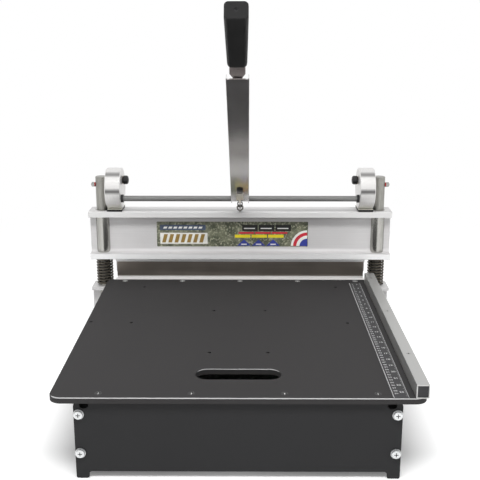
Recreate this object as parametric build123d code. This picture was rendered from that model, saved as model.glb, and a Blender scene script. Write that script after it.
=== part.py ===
from build123d import *
import math
import os

# A bench shear for laminate flooring. Millimetres, +Z up, the operator stands on the -Y side.
# Places are worked out with Y zero at the cutting plane and Z zero on the bench.
# The last section moves everything so that the footprint is centred on the origin.

# Table
table_width = 577.0
table_front = 606.6
table_back_gap = 0.7
table_thickness = 9.5
table_front_radius = 20.0
table_back_radius = 10.0
table_edge_chamfer = 1.2

# Hand slot through the table
slot_length = 138.0
slot_width = 40.0
slot_front_inset = 88.9
slot_edge_round = 1.5

# Accessory holes in the table, as pairs of half spacing and distance before the cutting plane
accessory_hole_diameter = 6.6
side_hole_inset = 48.5
back_hole_y = -68.5
side_hole_y = -284.3
near_hole_half_spacing = 50.0
near_hole_y = -216.7
far_hole_slot_gap = 89.5
stop_hole_inset = 8.8
stop_hole_y = -279.0

# Table screws, countersunk
screw_diameter = 6.0
flat_head_diameter = 11.6
flat_head_height = 3.2
rear_screw_end_inset = 22.8
rear_screw_count = 5
rear_screw_y = -25.7
front_screw_side_inset = 38.0
front_screw_count = 4
front_screw_inset = 16.8
screw_clearance = 0.1
recess_diameter = 3.4
recess_depth = 1.8
recess_arm_width = 1.2

# Ruler strip beside the fence
ruler_width = 25.2
ruler_fence_gap = 9.1
ruler_back_y = -40.7
ruler_front_inset = 1.4
ruler_thickness = 0.4

# Fence along the right edge
fence_width = 20.0
fence_height = 22.0
fence_wall = 1.6
fence_corner_radius = 1.2
fence_front_inset = 0.3
fence_back_y = -36.0
fence_screw_back_inset = 36.3
fence_screw_front_inset = 122.9
fence_screw_count = 3
fence_plug_recess = 1.2
fence_plug_length = 12.0
fence_plug_clearance = 0.1

# Sheet steel base
sheet = 3.0
base_side_inset = 36.9
base_front_inset = 8.6
flange_reach = 25.0
side_flange_reach = 20.0
panel_foot_height = 11.7
panel_foot_width = 20.0
panel_foot_radius = 5.0
relief_width = 14.0
relief_depth = 12.0
relief_inset = 9.5
relief_radius = 5.0
panel_corner_radius = 9.0
panel_toe_radius = 3.5
side_corner_run = 20.0
panel_screw_inset_x = 7.8
panel_screw_drop = 31.5
panel_screw_rise = 43.3
pan_head_diameter = 14.5
pan_head_height = 3.6
pan_washer_diameter = 16.6
pan_washer_thickness = 1.2
nut_across_flats = 8.0
nut_height = 5.0

# Rear rail under the table and the anvil bar that it carries
rail_width = 25.4
rail_height = 25.4
anvil_width = 12.7
anvil_side_inset = 15.5
anvil_edge_chamfer = 0.6
anvil_bolt_depth = 8.0
anvil_bolt_drop = 6.9

# Beams, both extruded I-sections
beam_overhang = 39.0
beam_width = 50.8
beam_front_offset = 7.3
beam_web = 9.5
beam_height = 107.0
beam_flange = 12.7
beam_fillet = 8.0
beam_edge_radius = 1.5
beam_rest_gap = 43.0
lower_flange = 6.4
lower_fillet = 6.0
lower_beam_drop = 21.4

# Posts, bushes and springs
post_diameter = 25.4
post_end_inset = 27.2
post_above_pivot = 8.0
post_chamfer = 0.9
post_seat_clearance = 0.05
bush_wall = 2.5
bush_clearance = 0.05
spring_post_gap = 1.4
spring_wire = 4.5
spring_turns = 9
spring_samples = 32
spring_seat_gap = 0.3
end_washer_diameter = 38.0
end_washer_thickness = 3.0
end_screw_diameter = 10.0
end_screw_depth = 25.0
end_screw_head_diameter = 18.0
end_screw_head_height = 5.0

# Bolts through the lower beam's web
web_bolt_diameter = 8.0
web_bolt_head_diameter = 13.0

# Rubber feet under the lower beam
foot_height = 11.6
foot_diameter = 28.0
foot_top_diameter = 24.4
foot_end_inset = 77.5
foot_web_gap = 11.0
foot_stud_diameter = 8.0

# Blade and its holder
blade_end_gap = 2.5
blade_thickness = 6.3
blade_gap = 0.3
blade_overlap = 6.0
blade_bevel_height = 10.0
blade_edge_land = 0.8
holder_step_height = 6.5
holder_back_inset = 1.0
holder_leg_thickness = 12.7
holder_leg_height = 24.0
holder_bolt_y_behind_web = 13.3
holder_bolt_end_inset = 78.0
holder_bolt_count = 4
blade_bolt_depth = 4.0
blade_bolt_end_inset = 30.5
blade_bolt_count = 5
cap_head_diameter = 10.0
cap_head_height = 6.0
socket_diameter = 5.0
socket_depth = 3.0

# Cams, their pivots and the wear pads under them
cam_thickness = 33.0
cam_post_gap = 0.6
cam_low_radius = 59.7
cam_lift_per_radian = 12.0
cam_first_angle = math.radians(-5.0)
cam_last_angle = math.radians(95.0)
cam_disc_radius = 42.6
cam_disc_forward = 5.8
cam_disc_drop = 15.3
cam_corner_radius = 10.0
cam_rim_count = 25
cam_edge_chamfer = 1.5
cam_pad_gap = 0.3
pivot_diameter = 12.7
pivot_bush_wall = 2.5
pivot_head_diameter = 19.0
pivot_head_height = 12.0
pivot_head_round = 4.5
pivot_seat_round = 2.5
pivot_socket_diameter = 8.0
pivot_socket_depth = 6.0
pivot_end_cover = 3.0
running_clearance = 0.05
pad_thickness = 5.0
pad_width = 32.0
pad_corner_radius = 2.0
pad_screw_depth = 9.5

# Locking stud in the outside of each post, with a fibre washer and a nut
stud_diameter = 5.0
stud_drop = 9.8
stud_depth = 6.0
stud_proud = 1.0
stud_washer_diameter = 9.6
stud_washer_thickness = 2.2
stud_nut_across_flats = 9.0
stud_nut_height = 6.4

# Cross bar
bar_diameter = 12.0
bar_forward = 33.1
bar_drop = 34.0
bar_socket_depth = 15.0
collar_diameter = 17.0
collar_length = 5.5

# Lever, a closed rectangular tube that leans a little to the left
lever_angle = 35.6
lever_lean = 0.22
lever_width = 38.0
lever_depth = 19.0
lever_wall = 2.0
lever_length = 492.0
lever_wall_start = 8.0
lever_corner_radius = 1.2
lever_horn = 3.0
lever_end_slope = 15.0
lever_back_opening = 62.0
lock_hole_start = 46.0
lock_hole_length = 36.0
lock_hole_width = 13.0

# Flat neck between the lever and the grip
neck_width = 24.2
neck_thickness = 12.0
neck_tang_width = 15.6
neck_tang_length = 125.0
neck_bevel_inside = 3.0
neck_bevel_length = 11.0
neck_shoulder_width = 25.4
neck_shoulder_length = 10.0
neck_seam_width = 2.0
neck_seam_depth = 0.8
neck_screw_diameter = 8.0
neck_screw_head_diameter = 14.0
neck_screw_head_height = 4.4
neck_screw_insets = (80.0, 107.0)

# Grip: stations along it, with widths and thicknesses
grip_lever_gap = 34.5
grip_length = 131.0
grip_bore_depth = 106.0
grip_bore_clearance = 0.1
grip_station_shares = (0.0, 0.01, 0.027, 0.05, 0.09, 0.5, 0.96, 0.99, 1.0)
grip_width_shares = (0.72, 0.79, 0.84, 0.87, 0.888, 0.945, 1.0, 0.985, 0.95)
grip_width = 35.4
grip_thickness = 30.2
grip_corner_radius = 6.0
grip_recess_diameter = 6.6
grip_recess_depth = 3.0
grip_screw_diameter = 4.0
grip_screw_head_height = 2.0
grip_screw_depth = 20.0
grip_socket_diameter = 3.0
grip_socket_depth = 1.2

# Lock: eye screw, washer, two chain links and a hook plate in front of the lever's web
eye_front_inset = 4.3
eye_wire = 3.8
eye_outer_diameter = 15.4
eye_shank_diameter = 5.0
eye_shank_depth = 10.0
eye_washer_diameter = 14.0
eye_washer_thickness = 0.8
link_wire = 2.6
link_clearance = 0.35
small_link_width = 10.0
large_link_width = 12.0
hook_tongue_width = 3.0
large_link_start = -13.5
large_link_end = 12.0
hook_width = 14.4
hook_thickness = 1.5
hook_web_gap = 0.5
hook_start = 16.0
hook_end = 49.0

# Label on the upper beam
label_width = 331.0
label_edge_gap = 12.8
label_centre_x = -17.0
label_drop = 1.2
label_thickness = 0.3
label_corner_radius = 2.0

# One overrun for every cut
overrun = 5.0


# Levels that follow from the sizes above
lower_bottom = foot_height
lower_top = lower_bottom + beam_height
table_height = lower_top + lower_beam_drop
table_under = table_height - table_thickness
table_back = -anvil_width - table_back_gap
beam_front = -beam_front_offset
beam_back = beam_front + beam_width
beam_centre_y = beam_front + beam_width / 2
upper_bottom = table_height + beam_rest_gap
upper_top = upper_bottom + beam_height
pad_top = upper_top + pad_thickness
web_front = beam_centre_y - beam_web / 2
web_back = beam_centre_y + beam_web / 2
pivot_z = pad_top + cam_pad_gap + cam_low_radius
bar_y = beam_centre_y - bar_forward
bar_z = pivot_z - bar_drop
beam_length = table_width + 2 * beam_overhang
post_x = beam_length / 2 - post_end_inset
post_top = pivot_z + post_above_pivot
cam_outer_x = post_x - post_diameter / 2 - cam_post_gap
cam_inner_x = cam_outer_x - cam_thickness
panel_face = -table_front + base_front_inset
side_outer_x = table_width / 2 - base_side_inset
side_inner_x = side_outer_x - sheet
rail_back = -anvil_width
rail_front = rail_back - rail_width
rail_bottom = table_under - rail_height
anvil_length = table_width - 2 * anvil_side_inset
blade_length = anvil_length - 2 * blade_end_gap
holder_bottom = upper_bottom - holder_step_height
blade_front = blade_gap
blade_back = blade_front + blade_thickness
blade_bottom = table_height - blade_overlap
bush_radius = post_diameter / 2 + bush_clearance + bush_wall
slot_centre_y = -table_front + slot_front_inset
far_hole_y = slot_centre_y + far_hole_slot_gap
side_hole_x = side_outer_x - side_hole_inset
stop_hole_x = -table_width / 2 + stop_hole_inset
eye_y = beam_front + eye_front_inset


def block(x0, x1, y0, y1, z0, z1):
    """A box between two corners."""
    solid = Box(x1 - x0, y1 - y0, z1 - z0)
    return Pos((x0 + x1) / 2, (y0 + y1) / 2, (z0 + z1) / 2) * solid


def rod_x(radius, x0, x1, y, z):
    """A round bar along X."""
    return Pos((x0 + x1) / 2, y, z) * Rot(0, 90, 0) * Cylinder(radius, abs(x1 - x0))


def rod_y(radius, y0, y1, x, z):
    """A round bar along Y."""
    return Pos(x, (y0 + y1) / 2, z) * Rot(90, 0, 0) * Cylinder(radius, abs(y1 - y0))


def rod_z(radius, z0, z1, x, y):
    """A round bar along Z."""
    return Pos(x, y, (z0 + z1) / 2) * Cylinder(radius, abs(z1 - z0))


def group(solids):
    """Separate solids kept together under one name."""
    return Compound(children=[solid for piece in solids for solid in piece.solids()])


def mirrored(piece):
    """The same piece on the other side of the middle plane."""
    return mirror(piece, about=Plane.YZ)


def cross_recess(depth, arm_width, size):
    """The cross-shaped tool for a driver recess, open upward at Z zero."""
    arm = Pos(0, 0, -depth / 2 + overrun / 2) * Box(size, arm_width, depth + overrun)
    return arm + Rot(0, 0, 90) * arm


def flat_screw(shank_length):
    """A countersunk screw, its head flush with Z zero and its shank downward."""
    head = Pos(0, 0, -flat_head_height / 2) * Cone(
        screw_diameter / 2, flat_head_diameter / 2, flat_head_height)
    shank = rod_z(screw_diameter / 2, -shank_length, -flat_head_height, 0, 0)
    return (head + shank) - cross_recess(recess_depth, recess_arm_width, 2 * recess_diameter)


def flat_screw_hole(through):
    """The tool for a countersunk hole from Z zero downward."""
    sink = Pos(0, 0, -flat_head_height / 2) * Cone(
        screw_diameter / 2 + screw_clearance, flat_head_diameter / 2 + screw_clearance, flat_head_height)
    bore = rod_z(screw_diameter / 2 + screw_clearance, -through, overrun, 0, 0)
    lead = rod_z(flat_head_diameter / 2 + screw_clearance, 0, overrun, 0, 0)
    return sink + bore + lead


def pan_screw(shank_length):
    """A pan-head screw with its washer face at Z zero and its shank downward."""
    head = rod_z(pan_head_diameter / 2, 0, pan_head_height, 0, 0)
    head = fillet(head.edges().group_by(Axis.Z)[-1], pan_head_height / 2)
    shank = rod_z(screw_diameter / 2, -shank_length, 0, 0, 0)
    return (head + shank) - Pos(0, 0, pan_head_height) * cross_recess(
        recess_depth, recess_arm_width, 2 * recess_diameter)


def cap_screw(diameter, head_diameter, head_height, hex_diameter, hex_depth, shank_length):
    """A socket-head screw with its seat at Z zero and its shank downward."""
    head = rod_z(head_diameter / 2, 0, head_height, 0, 0)
    head = chamfer(head.edges().group_by(Axis.Z)[-1], head_height / 10)
    shank = rod_z(diameter / 2, -shank_length, 0, 0, 0)
    tool = extrude(RegularPolygon(hex_diameter / 2, 6), hex_depth)
    return (head + shank) - Pos(0, 0, head_height - hex_depth) * tool


def hex_nut(across_flats, height, bore):
    """A hexagon nut with its seat at Z zero."""
    across_corners = across_flats / math.cos(math.radians(30))
    nut = extrude(RegularPolygon(across_corners / 2, 6), height)
    dome = Pos(0, 0, height / 2) * Cylinder(across_corners / 2, height)
    dome = chamfer(dome.edges().group_by(Axis.Z)[-1], height / 8, height / 5)
    return (nut & dome) - rod_z(bore / 2, -overrun, height + overrun, 0, 0)


def washer(outer, thickness, bore):
    """A flat washer with its seat at Z zero."""
    return rod_z(outer / 2, 0, thickness, 0, 0) - rod_z(bore / 2, -overrun, thickness + overrun, 0, 0)


# Directions that fasteners point in, as placements of the Z axis of their own drawing
facing_front = Rot(90, 0, 0)
facing_back = Rot(-90, 0, 0)
facing_right = Rot(0, 90, 0)
facing_left = Rot(0, -90, 0)
facing_down = Rot(180, 0, 0)


def spaced(first, last, count):
    """Even places from the first to the last."""
    return [first + (last - first) * i / (count - 1) for i in range(count)]


# Places of the fasteners that several pieces share
rear_screw_reach = anvil_length / 2 - rear_screw_end_inset
rear_screw_xs = spaced(-rear_screw_reach, rear_screw_reach, rear_screw_count)
front_screw_reach = side_outer_x - front_screw_side_inset
front_screw_xs = spaced(-front_screw_reach, front_screw_reach, front_screw_count)
front_screw_y = -table_front + front_screw_inset
fence_centre_x = table_width / 2 - fence_width / 2
fence_front_y = -table_front + fence_front_inset
fence_screw_ys = spaced(fence_back_y - fence_screw_back_inset, fence_front_y + fence_screw_front_inset,
                        fence_screw_count)
ruler_centre_x = fence_centre_x - fence_width / 2 - ruler_fence_gap - ruler_width / 2
panel_screw_x = side_outer_x - panel_screw_inset_x
panel_screw_zs = (table_height - panel_screw_drop, panel_screw_rise)
anvil_bolt_xs = [(x + following) / 2 for x, following in zip(rear_screw_xs, rear_screw_xs[1:])]
anvil_bolt_z = table_under - anvil_bolt_drop
rail_screw_y = (rail_front + rail_back) / 2
rail_screw_x = side_inner_x - side_flange_reach / 2
web_bolt_x = side_inner_x - side_flange_reach / 2
web_bolt_zs = (lower_bottom + beam_height / 3, lower_bottom + beam_height * 2 / 3)
accessory_holes = [
    (-side_hole_x, back_hole_y), (side_hole_x, back_hole_y),
    (-side_hole_x, side_hole_y), (side_hole_x, side_hole_y),
    (-near_hole_half_spacing, near_hole_y), (near_hole_half_spacing, near_hole_y),
    (-near_hole_half_spacing, far_hole_y), (near_hole_half_spacing, far_hole_y),
    (stop_hole_x, stop_hole_y)]


# Table and what lies on it
def make_table_plate():
    plate = block(-table_width / 2, table_width / 2, -table_front, table_back, table_under, table_height)
    uprights = plate.edges().filter_by(Axis.Z).group_by(Axis.Y)
    plate = fillet(uprights[0], table_front_radius)
    uprights = plate.edges().filter_by(Axis.Z).filter_by(lambda e: e.center().Y > table_back - overrun)
    plate = fillet(uprights.filter_by(lambda e: abs(e.center().X) > table_width / 2 - overrun),
                   table_back_radius)
    plate = chamfer(plate.faces().sort_by(Axis.Z)[-1].outer_wire().edges(), table_edge_chamfer)
    slot = extrude(SlotOverall(slot_length, slot_width), table_thickness + 2 * overrun)
    plate -= Pos(0, slot_centre_y, table_under - overrun) * slot
    plate = fillet(plate.faces().sort_by(Axis.Z)[-1].inner_wires()[0].edges(), slot_edge_round)
    for x in rear_screw_xs:
        plate -= Pos(x, rear_screw_y, table_height) * flat_screw_hole(table_thickness + overrun)
    for x in front_screw_xs:
        plate -= Pos(x, front_screw_y, table_height) * flat_screw_hole(table_thickness + overrun)
    for x, y in accessory_holes:
        plate -= rod_z(accessory_hole_diameter / 2, table_under - overrun, table_height + overrun, x, y)
    for y in fence_screw_ys:
        plate -= rod_z(screw_diameter / 2 + screw_clearance, table_under - overrun,
                       table_height + overrun, fence_centre_x, y)
    return plate


def make_table_screws():
    rear = [Pos(x, rear_screw_y, table_height) * flat_screw(table_thickness + rail_height / 2)
            for x in rear_screw_xs]
    front = [Pos(x, front_screw_y, table_height) * flat_screw(table_thickness + sheet + nut_height)
             for x in front_screw_xs]
    return group(rear + front)


def make_table_nuts():
    nut = hex_nut(nut_across_flats, nut_height, screw_diameter + 2 * screw_clearance)
    return group([Pos(x, front_screw_y, table_under - sheet) * facing_down * nut for x in front_screw_xs])


def make_ruler_strip():
    return block(ruler_centre_x - ruler_width / 2, ruler_centre_x + ruler_width / 2,
                 -table_front + ruler_front_inset, ruler_back_y,
                 table_height, table_height + ruler_thickness)


def make_fence_tube():
    length = fence_back_y - fence_front_y
    outer = RectangleRounded(fence_width, fence_height, fence_corner_radius)
    inner = Rectangle(fence_width - 2 * fence_wall, fence_height - 2 * fence_wall)
    tube = extrude(outer - inner, length)
    tube = Pos(fence_centre_x, fence_back_y, table_height + fence_height / 2) * facing_front * tube
    for y in fence_screw_ys:
        tube -= Pos(fence_centre_x, y, table_height + fence_height) * flat_screw_hole(
            fence_height + overrun)
    return tube


def make_fence_screws():
    screw = flat_screw(fence_height + table_thickness)
    return group([Pos(fence_centre_x, y, table_height + fence_height) * screw for y in fence_screw_ys])


def make_fence_plugs():
    width = fence_width - 2 * fence_wall - 2 * fence_plug_clearance
    height = fence_height - 2 * fence_wall - 2 * fence_plug_clearance
    front = fence_front_y + fence_plug_recess
    back = fence_back_y - fence_plug_recess
    z0 = table_height + fence_wall + fence_plug_clearance
    plugs = [block(fence_centre_x - width / 2, fence_centre_x + width / 2, y, y + fence_plug_length,
                   z0, z0 + height) for y in (front, back - fence_plug_length)]
    return group(plugs)


# Sheet steel base
def make_front_panel():
    top = table_under
    panel = block(-side_outer_x, side_outer_x, panel_face, panel_face + sheet, 0, top)
    panel -= block(-side_outer_x + panel_foot_width, side_outer_x - panel_foot_width,
                   panel_face - overrun, panel_face + sheet + overrun, -overrun, panel_foot_height)
    inner = panel.edges().filter_by(Axis.Y).filter_by(
        lambda e: abs(e.center().Z - panel_foot_height) < sheet and
        abs(abs(e.center().X) - side_outer_x + panel_foot_width) < sheet)
    panel = fillet(inner, panel_foot_radius)
    toes = panel.edges().filter_by(Axis.Y).filter_by(lambda e: abs(e.center().Z) < sheet)
    panel = fillet(toes, panel_toe_radius)
    outer = panel.edges().filter_by(Axis.Y).filter_by(lambda e: abs(e.center().Z - top) < sheet)
    panel = fillet(outer, panel_corner_radius)
    inset = side_outer_x - relief_inset
    panel += block(-inset + relief_width, inset - relief_width, panel_face, panel_face + flange_reach,
                   top - sheet, top)
    tool = Pos(0, 0, -relief_radius) * extrude(
        RectangleRounded(relief_width, 2 * relief_depth, relief_radius), sheet + 2 * overrun)
    for side in (-1, 1):
        centre = side * (inset - relief_width / 2)
        panel -= Pos(centre, panel_face + sheet + overrun, top) * facing_front * Pos(
            0, 0, relief_radius) * tool
    for x in (-panel_screw_x, panel_screw_x):
        for z in panel_screw_zs:
            panel -= rod_y(screw_diameter / 2 + screw_clearance, panel_face - overrun,
                           panel_face + sheet + overrun, x, z)
    for x in front_screw_xs:
        panel -= rod_z(screw_diameter / 2 + screw_clearance, top - sheet - overrun, top + overrun,
                       x, front_screw_y)
    return panel


def make_side_panel():
    """The right-hand side panel: a web with flanges turned inward."""
    front = panel_face + sheet
    step = rail_front - table_back_gap
    beam_step = beam_front - table_back_gap
    tongue_top = lower_top - lower_flange - 2 * lower_fillet
    tongue_bottom = lower_bottom + lower_flange + 2 * lower_fillet
    outline = Polyline(
        (front, panel_foot_height), (beam_step, panel_foot_height), (beam_step, tongue_bottom),
        (web_front, tongue_bottom), (web_front, tongue_top), (rail_back, tongue_top),
        (rail_back, rail_bottom), (step, rail_bottom), (step, table_under),
        (front + side_corner_run, table_under), (front, table_under - panel_corner_radius), close=True)
    face = Plane.YZ * make_face(outline)
    panel = Pos(side_inner_x, 0, 0) * extrude(face, sheet)
    inner = side_inner_x - side_flange_reach
    panel += block(inner, side_inner_x, front, front + sheet, panel_foot_height,
                   table_under - relief_depth - relief_radius)
    panel += block(inner, side_inner_x, panel_face + flange_reach + sheet, step,
                   table_under - sheet, table_under)
    panel += block(inner, side_inner_x, rail_front, rail_back, rail_bottom - sheet, rail_bottom)
    panel += block(inner, side_inner_x, web_front - sheet, web_front, tongue_bottom, tongue_top)
    for z in panel_screw_zs:
        panel -= rod_y(screw_diameter / 2 + screw_clearance, front - overrun, front + sheet + overrun,
                       panel_screw_x, z)
    for z in web_bolt_zs:
        panel -= rod_y(web_bolt_diameter / 2 + screw_clearance, web_front - sheet - overrun,
                       web_front + overrun, web_bolt_x, z)
    panel -= rod_z(screw_diameter / 2 + screw_clearance, rail_bottom - sheet - overrun,
                   rail_bottom + overrun, rail_screw_x, rail_screw_y)
    return panel


def panel_screw_places():
    return [(x, z) for x in (-panel_screw_x, panel_screw_x) for z in panel_screw_zs]


def make_panel_screws():
    screw = pan_screw(pan_washer_thickness + 2 * sheet + nut_height)
    return group([Pos(x, panel_face - pan_washer_thickness, z) * facing_front * screw
                  for x, z in panel_screw_places()])


def make_panel_washers():
    ring = washer(pan_washer_diameter, pan_washer_thickness, screw_diameter + 2 * screw_clearance)
    return group([Pos(x, panel_face, z) * facing_front * ring for x, z in panel_screw_places()])


def make_panel_nuts():
    nut = hex_nut(nut_across_flats, nut_height, screw_diameter + 2 * screw_clearance)
    return group([Pos(x, panel_face + 2 * sheet, z) * facing_back * nut for x, z in panel_screw_places()])


def make_rear_rail():
    rail = block(-anvil_length / 2, anvil_length / 2, rail_front, rail_back, rail_bottom, table_under)
    for x in rear_screw_xs:
        rail -= rod_z(screw_diameter / 2 + screw_clearance, table_under - rail_height / 2,
                      table_under + overrun, x, rear_screw_y)
    for x in anvil_bolt_xs:
        rail -= rod_y(screw_diameter / 2 + screw_clearance, rail_front - overrun,
                      rail_back + overrun, x, anvil_bolt_z)
    for x in (-rail_screw_x, rail_screw_x):
        rail -= rod_z(screw_diameter / 2 + screw_clearance, rail_bottom - overrun,
                      rail_bottom + rail_height / 2, x, rail_screw_y)
    return rail


def make_rail_screws():
    screw = cap_screw(screw_diameter, cap_head_diameter, cap_head_height, socket_diameter,
                      socket_depth, sheet + rail_height / 3)
    return group([Pos(x, rail_screw_y, rail_bottom - sheet) * facing_down * screw
                  for x in (-rail_screw_x, rail_screw_x)])


def make_anvil_bar():
    bar = block(-anvil_length / 2, anvil_length / 2, -anvil_width, 0, lower_top, table_height)
    bar = chamfer(bar.edges().filter_by(Axis.X).group_by(Axis.Z)[-1].sort_by(Axis.Y)[0],
                  anvil_edge_chamfer)
    for x in anvil_bolt_xs:
        bar -= rod_y(screw_diameter / 2 + screw_clearance, -anvil_width - overrun,
                     -anvil_width + anvil_bolt_depth + screw_clearance, x, anvil_bolt_z)
    return bar


def make_anvil_bolts():
    bolt = cap_screw(screw_diameter, cap_head_diameter, cap_head_height, socket_diameter,
                     socket_depth, rail_width + anvil_bolt_depth)
    return group([Pos(x, rail_front, anvil_bolt_z) * facing_front * bolt for x in anvil_bolt_xs])


# Beams
def beam_section(flange_top, flange_bottom, root):
    """Half outline of the I-section doubled about its web, drawn about its bottom centre."""
    half = beam_width / 2
    half_web = beam_web / 2
    edge = beam_edge_radius
    section = Pos(0, beam_height / 2) * Rectangle(beam_width, beam_height)
    pocket_height = beam_height - flange_top - flange_bottom
    pocket = Pos(0, flange_bottom + pocket_height / 2) * RectangleRounded(
        2 * (half - half_web), pocket_height, root)
    reach = half - half_web
    filler = Rectangle(reach, pocket_height)
    for side in (-1, 1):
        section -= Pos(side * half, 0) * pocket
        section -= Pos(side * (half + reach / 2), flange_bottom + pocket_height / 2) * filler
    corners = section.vertices().filter_by(
        lambda v: abs(abs(v.X) - half) < edge and (v.Y < edge or v.Y > beam_height - edge))
    return fillet(corners, edge)


def make_beam(bottom, flange_top, flange_bottom, root, bore_radius):
    section = beam_section(flange_top, flange_bottom, root)
    solid = extrude(Plane.YZ * section, beam_length / 2, both=True)
    solid = Pos(0, beam_centre_y, bottom) * solid
    for x in (-post_x, post_x):
        solid -= rod_z(bore_radius, bottom - overrun, bottom + beam_height + overrun, x, beam_centre_y)
    return solid


def make_lower_beam():
    solid = make_beam(lower_bottom, lower_flange, lower_flange, lower_fillet,
                      post_diameter / 2 + post_seat_clearance)
    for x in (-web_bolt_x, web_bolt_x):
        for z in web_bolt_zs:
            solid -= rod_y(web_bolt_diameter / 2 + screw_clearance, web_front - overrun,
                           web_back + overrun, x, z)
    for x, y in foot_places():
        solid -= rod_z(foot_stud_diameter / 2 + screw_clearance, lower_bottom - overrun,
                       lower_bottom + lower_flange + overrun, x, y)
    return solid


def make_web_bolts():
    bolt = cap_screw(web_bolt_diameter, web_bolt_head_diameter, web_bolt_diameter, socket_diameter,
                     socket_depth, beam_web + sheet + nut_height)
    return group([Pos(x, web_back, z) * facing_back * bolt
                  for x in (-web_bolt_x, web_bolt_x) for z in web_bolt_zs])


def make_web_nuts():
    nut = hex_nut(web_bolt_head_diameter, nut_height, web_bolt_diameter + 2 * screw_clearance)
    return group([Pos(x, web_front - sheet, z) * facing_front * nut
                  for x in (-web_bolt_x, web_bolt_x) for z in web_bolt_zs])


def foot_places():
    x = beam_length / 2 - foot_end_inset
    return [(-x, web_front - foot_web_gap), (-x, web_back + foot_web_gap),
            (x, web_front - foot_web_gap), (x, web_back + foot_web_gap)]


def make_rear_feet():
    feet = []
    for x, y in foot_places():
        foot = Pos(x, y, foot_height / 2) * Cone(foot_diameter / 2, foot_top_diameter / 2, foot_height)
        feet.append(foot + rod_z(foot_stud_diameter / 2, lower_bottom - sheet,
                                 lower_bottom + lower_flange, x, y))
    return group(feet)


# Posts and springs
def make_post(side):
    """A round post, drilled across its top for the pivot and tapped up its foot."""
    x = side * post_x
    post = rod_z(post_diameter / 2, lower_bottom, post_top, x, beam_centre_y)
    post = chamfer(post.edges().group_by(Axis.Z)[-1], post_chamfer)
    post -= rod_x(pivot_diameter / 2 + screw_clearance, side * pivot_seat(), side * pivot_end(),
                  beam_centre_y, pivot_z)
    post -= rod_x(stud_diameter / 2 + screw_clearance, side * (post_side() - stud_depth - screw_clearance),
                  side * (post_side() + overrun), beam_centre_y, pivot_z - stud_drop)
    post -= rod_z(end_screw_diameter / 2 + screw_clearance, lower_bottom - overrun,
                  lower_bottom + end_screw_depth + screw_clearance, x, beam_centre_y)
    return post


def make_post_end_washers():
    ring = washer(end_washer_diameter, end_washer_thickness, end_screw_diameter + 2 * screw_clearance)
    return group([Pos(x, beam_centre_y, lower_bottom) * facing_down * ring for x in (-post_x, post_x)])


def make_post_end_screws():
    screw = cap_screw(end_screw_diameter, end_screw_head_diameter, end_screw_head_height,
                      pivot_socket_diameter, socket_depth, end_washer_thickness + end_screw_depth)
    return group([Pos(x, beam_centre_y, lower_bottom - end_washer_thickness) * facing_down * screw
                  for x in (-post_x, post_x)])


def make_post_bushes():
    """Long sleeves through the upper beam, one round each post."""
    inner = post_diameter / 2 + bush_clearance
    bush = rod_z(bush_radius, upper_bottom, upper_top, post_x, beam_centre_y)
    bush -= rod_z(inner, upper_bottom - overrun, upper_top + overrun, post_x, beam_centre_y)
    return group([mirrored(bush), bush])


# Springs: each half turn of the helix is a pair of arcs that meet smoothly
spring_radius = post_diameter / 2 + spring_post_gap + spring_wire / 2
spring_bottom = lower_top + spring_wire / 2 + spring_seat_gap
spring_top = upper_bottom - spring_wire / 2 - spring_seat_gap
spring_pitch = (spring_top - spring_bottom) / spring_turns


def spring_place(turn):
    """Point and direction of the wire's centre line after this many turns."""
    angle = 2 * math.pi * turn
    point = Vector(spring_radius * math.cos(angle), spring_radius * math.sin(angle),
                   spring_bottom + spring_pitch * turn)
    run = 2 * math.pi * spring_radius
    direction = Vector(-run * math.sin(angle), run * math.cos(angle), spring_pitch)
    return point, direction.normalized()


def biarc(start, start_direction, end, end_direction):
    """Two arcs between two points, tangent to a direction at each."""
    chord = end - start
    both = start_direction + end_direction
    bend = 2 * (1 - start_direction.dot(end_direction))
    across = chord.dot(both)
    reach = (math.sqrt(across ** 2 + bend * chord.dot(chord)) - across) / bend
    middle = (start + start_direction * reach + end - end_direction * reach) * 0.5
    return [TangentArc(start, middle, tangent=start_direction),
            TangentArc(middle, end, tangent=end_direction * -1, tangent_from_first=False)]


def spring_route():
    """The whole centre line as one wire."""
    arcs = []
    for half_turn in range(2 * spring_turns):
        start = spring_place(half_turn / 2)
        end = spring_place((half_turn + 1) / 2)
        arcs += biarc(*start, *end)
    return Wire(arcs)


def spring_least_gap(route):
    """Least gap between neighbouring turns, measured on points of the centre line."""
    steps = spring_turns * spring_samples
    points = [route @ (i / steps) for i in range(steps + 1)]
    gaps = [(points[j] - points[i]).length for i in range(steps)
            for j in range(i + spring_samples // 2, min(steps, i + 2 * spring_samples))]
    return min(gaps) - spring_wire


def make_spring(side):
    """A round-wire compression spring seated between the two beams."""
    route = spring_route()
    print("least gap of the spring to itself", round(spring_least_gap(route), 2))
    coil = sweep(Plane(route @ 0, z_dir=route % 0) * Circle(spring_wire / 2), path=route)
    return Pos(side * post_x, beam_centre_y, 0) * coil


# Upper beam and the blade under it
def make_upper_beam():
    solid = make_beam(upper_bottom, beam_flange, beam_flange, beam_fillet,
                      bush_radius + post_seat_clearance)
    for x in holder_bolt_xs():
        solid -= rod_z(screw_diameter / 2 + screw_clearance, upper_bottom - overrun,
                       upper_bottom + beam_flange + overrun, x, holder_bolt_y())
    solid -= rod_z(eye_shank_diameter / 2 + screw_clearance,
                   upper_top - eye_shank_depth - screw_clearance, upper_top + overrun, 0, eye_y)
    for side in (-1, 1):
        for y in pad_screw_ys():
            solid -= rod_z(screw_diameter / 2 + screw_clearance,
                           upper_top - pad_screw_depth - screw_clearance,
                           upper_top + overrun, side * pad_centre_x(), y)
    return solid


def holder_bolt_xs():
    reach = anvil_length / 2 - holder_bolt_end_inset
    return spaced(-reach, reach, holder_bolt_count)


def holder_bolt_y():
    return web_back + holder_bolt_y_behind_web


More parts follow.
